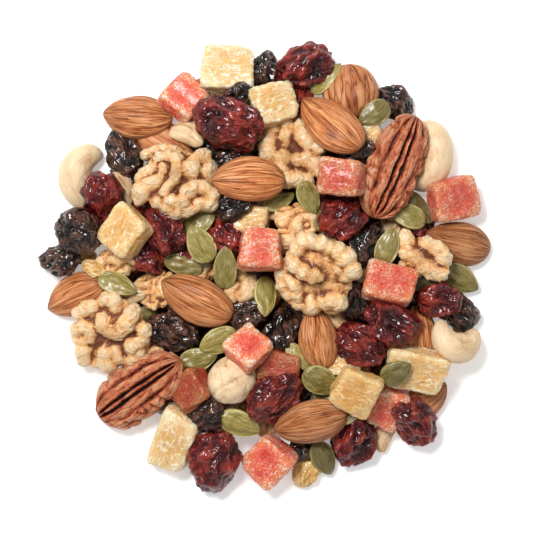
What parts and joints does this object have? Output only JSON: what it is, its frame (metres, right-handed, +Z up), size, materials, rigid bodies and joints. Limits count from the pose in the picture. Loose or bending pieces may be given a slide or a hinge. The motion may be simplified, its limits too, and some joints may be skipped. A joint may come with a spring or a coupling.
{
  "type": "heap of trail mix",
  "caption": "Loose round heap of trail mix lying on a table: nuts, seeds, raisins, dried cranberries and cubes of dried fruit.",
  "frame": {"origin": "middle of the heap's flat base, on the table", "axes": "+Z up from the table, +X to the right and +Y away as seen from above"},
  "size_m": [0.1504, 0.1482, 0.0284],
  "materials": {
    "mixed_nuts_and_fruit": "dry nut skins and dried fruit, satin to matt"
  },
  "bodies": {
    "root": {"trail_mix_heap": "mixed_nuts_and_fruit"}
  },
  "joints": []
}
